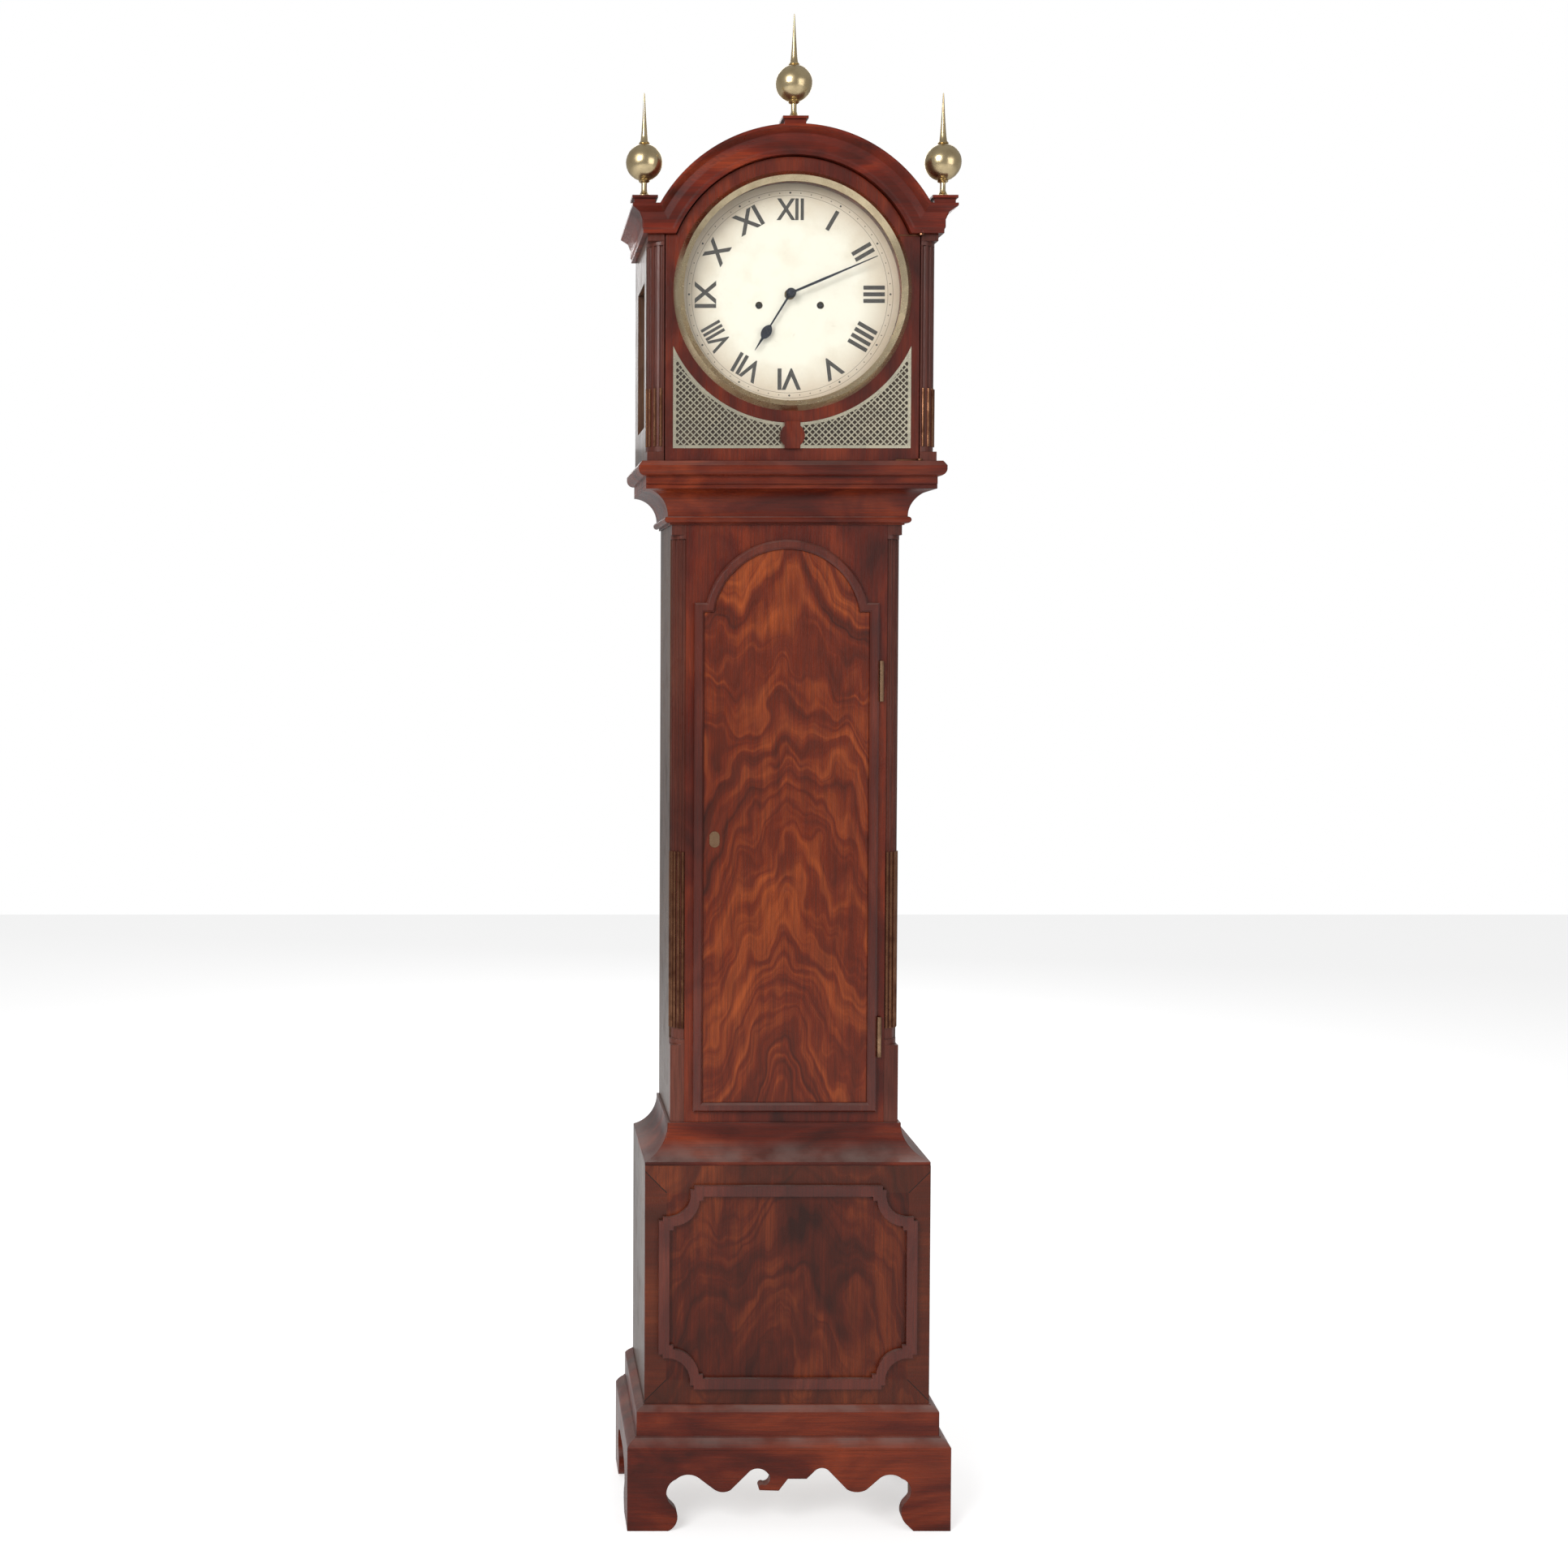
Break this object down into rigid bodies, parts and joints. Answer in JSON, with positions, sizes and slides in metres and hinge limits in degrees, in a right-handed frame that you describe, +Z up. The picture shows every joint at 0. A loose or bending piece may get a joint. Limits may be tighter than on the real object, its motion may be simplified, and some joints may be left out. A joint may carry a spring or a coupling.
{
  "type": "longcase clock",
  "caption": "Tall mahogany longcase clock with an arched sliding hood, round dial, fluted quarter columns, arched trunk door, bracket base, weights and a long pendulum.",
  "frame": {"origin": "centre of the footprint on the floor", "axes": "+Z up, the dial faces -Y, +X to the viewer's right"},
  "size_m": [0.4844, 0.252, 2.211],
  "materials": {
    "mahogany": "polished flame mahogany",
    "pine": "plain dark-stained softwood",
    "brass": "old polished brass",
    "steel": "worn steel",
    "blued_steel": "dark blued steel",
    "glass": "clear thin glass",
    "dial": "cream dial, satin",
    "silk": "dark backing silk",
    "gut": "gut line"
  },
  "bodies": {
    "case": {"backboard": "pine", "base_front": "mahogany", "base_sides": "mahogany", "base_inner_frame": "pine", "base_panel_moulding": "mahogany", "front_bracket_apron": "mahogany", "side_brackets": "mahogany", "plinth_mouldings": "mahogany", "waist_moulding": "mahogany", "trunk_sides": "mahogany", "trunk_front_frame": "mahogany", "throat_moulding": "mahogany", "trunk_columns": "mahogany", "trunk_column_reeds": "brass", "trunk_hinge_frame_leaves": "brass", "seatboard": "pine", "movement_frame": "brass", "dial_plate": "dial", "bell": "brass", "back_cock": "steel"},
    "hood": {"hood_base_moulding": "mahogany", "hood_base_frame": "pine", "hood_sides": "mahogany", "hood_side_glass": "glass", "hood_roof": "pine", "hood_inner_frame": "mahogany", "hood_arch_front": "mahogany", "hood_cornice": "mahogany", "hood_columns": "mahogany", "hood_column_reeds": "brass", "finial_blocks": "mahogany", "finials": "brass"},
    "hood_door": {"hood_door_frame": "mahogany", "dial_bezel": "brass", "dial_glass": "glass", "sound_frets": "brass", "fret_silk": "silk", "door_baluster": "mahogany", "hood_door_pivots": "brass"},
    "trunk_door": {"trunk_door_board": "mahogany", "trunk_door_moulding": "mahogany", "trunk_door_brasses": "brass"},
    "trunk_bolt": {"trunk_lock_bolt": "steel"},
    "centre": {"centre_arbor": "steel", "minute_hand": "blued_steel"},
    "minute_wheel": {"minute_wheel": "brass"},
    "hour": {"hour_wheel": "brass", "hour_hand": "blued_steel"},
    "escape_wheel": {"escape_wheel": "brass"},
    "anchor": {"anchor": "steel"},
    "pendulum": {"pendulum": "brass"},
    "hammer": {"strike_hammer": "steel"},
    "going_weight": {"going_weight": "brass", "going_line": "gut"},
    "strike_weight": {"strike_weight": "brass", "strike_line": "gut"},
    "going_pulley": {"going_pulley": "brass"},
    "strike_pulley": {"strike_pulley": "brass"},
    "going_barrel": {"going_barrel": "brass"},
    "strike_barrel": {"strike_barrel": "brass"}
  },
  "joints": [
    {"name": "hood_slide", "type": "slide", "parent": "case", "child": "hood", "axis": [0, -1, 0], "range_m": [0, 0.26]},
    {"name": "hood_door_hinge", "type": "hinge", "parent": "hood", "child": "hood_door", "pos_m": [0.18525, -0.1035, 1.7], "axis": [0, 0, 1], "range_deg": [0, 120]},
    {"name": "trunk_door_hinge", "type": "hinge", "parent": "case", "child": "trunk_door", "pos_m": [0.1404, -0.061, 1], "axis": [0, 0, 1], "range_deg": [0, 110]},
    {"name": "trunk_bolt_slide", "type": "slide", "parent": "trunk_door", "child": "trunk_bolt", "axis": [-1, 0, 0], "range_m": [0, 0.008]},
    {"name": "minute_hand_turn", "type": "hinge", "parent": "case", "child": "centre", "pos_m": [0, 0, 1.814], "axis": [0, 1, 0], "continuous": true},
    {"name": "minute_wheel_turn", "type": "hinge", "parent": "case", "child": "minute_wheel", "pos_m": [0, 0, 1.7921], "axis": [0, 1, 0], "continuous": true},
    {"name": "hour_hand_turn", "type": "hinge", "parent": "case", "child": "hour", "pos_m": [0, 0, 1.814], "axis": [0, 1, 0], "continuous": true},
    {"name": "escape_wheel_turn", "type": "hinge", "parent": "case", "child": "escape_wheel", "pos_m": [0, 0, 1.858], "axis": [0, 1, 0], "continuous": true},
    {"name": "pendulum_swing", "type": "hinge", "parent": "case", "child": "pendulum", "pos_m": [0, 0.058, 1.88357], "axis": [0, 1, 0], "range_deg": [-3, 3]},
    {"name": "anchor_rock", "type": "hinge", "parent": "case", "child": "anchor", "pos_m": [0, 0, 1.88357], "axis": [0, 1, 0], "range_deg": [-3, 3]},
    {"name": "hammer_lift", "type": "hinge", "parent": "case", "child": "hammer", "pos_m": [-0.058, 0, 1.862], "axis": [0, 1, 0], "range_deg": [-7, 0], "stiffness_Nm_per_rad": 0.05},
    {"name": "going_weight_drop", "type": "slide", "parent": "case", "child": "going_weight", "axis": [0, 0, -1], "range_m": [0, 0.9], "deforming": ["going_line"]},
    {"name": "going_pulley_turn", "type": "hinge", "parent": "going_weight", "child": "going_pulley", "pos_m": [0.045, -0.004, 1.378], "axis": [0, 1, 0], "range_deg": [0, 2110]},
    {"name": "going_barrel_turn", "type": "hinge", "parent": "case", "child": "going_barrel", "pos_m": [0.045, 0, 1.798], "axis": [0, 1, 0], "range_deg": [0, 4220]},
    {"name": "strike_weight_drop", "type": "slide", "parent": "case", "child": "strike_weight", "axis": [0, 0, -1], "range_m": [0, 0.9], "deforming": ["strike_line"]},
    {"name": "strike_pulley_turn", "type": "hinge", "parent": "strike_weight", "child": "strike_pulley", "pos_m": [-0.045, -0.004, 1.378], "axis": [0, 1, 0], "range_deg": [-2110, 0]},
    {"name": "strike_barrel_turn", "type": "hinge", "parent": "case", "child": "strike_barrel", "pos_m": [-0.045, 0, 1.798], "axis": [0, 1, 0], "range_deg": [-4220, 0]}
  ],
  "couplings": [
    {"joint": "minute_wheel_turn", "follows": "minute_hand_turn", "ratio": -1},
    {"joint": "hour_hand_turn", "follows": "minute_hand_turn", "ratio": 0.083333},
    {"joint": "anchor_rock", "follows": "pendulum_swing", "ratio": 1},
    {"joint": "going_pulley_turn", "follows": "going_weight_drop", "rad_per_m": 40.3},
    {"joint": "going_barrel_turn", "follows": "going_weight_drop", "rad_per_m": 80.6},
    {"joint": "strike_pulley_turn", "follows": "strike_weight_drop", "rad_per_m": -40.3},
    {"joint": "strike_barrel_turn", "follows": "strike_weight_drop", "rad_per_m": -80.6}
  ]
}
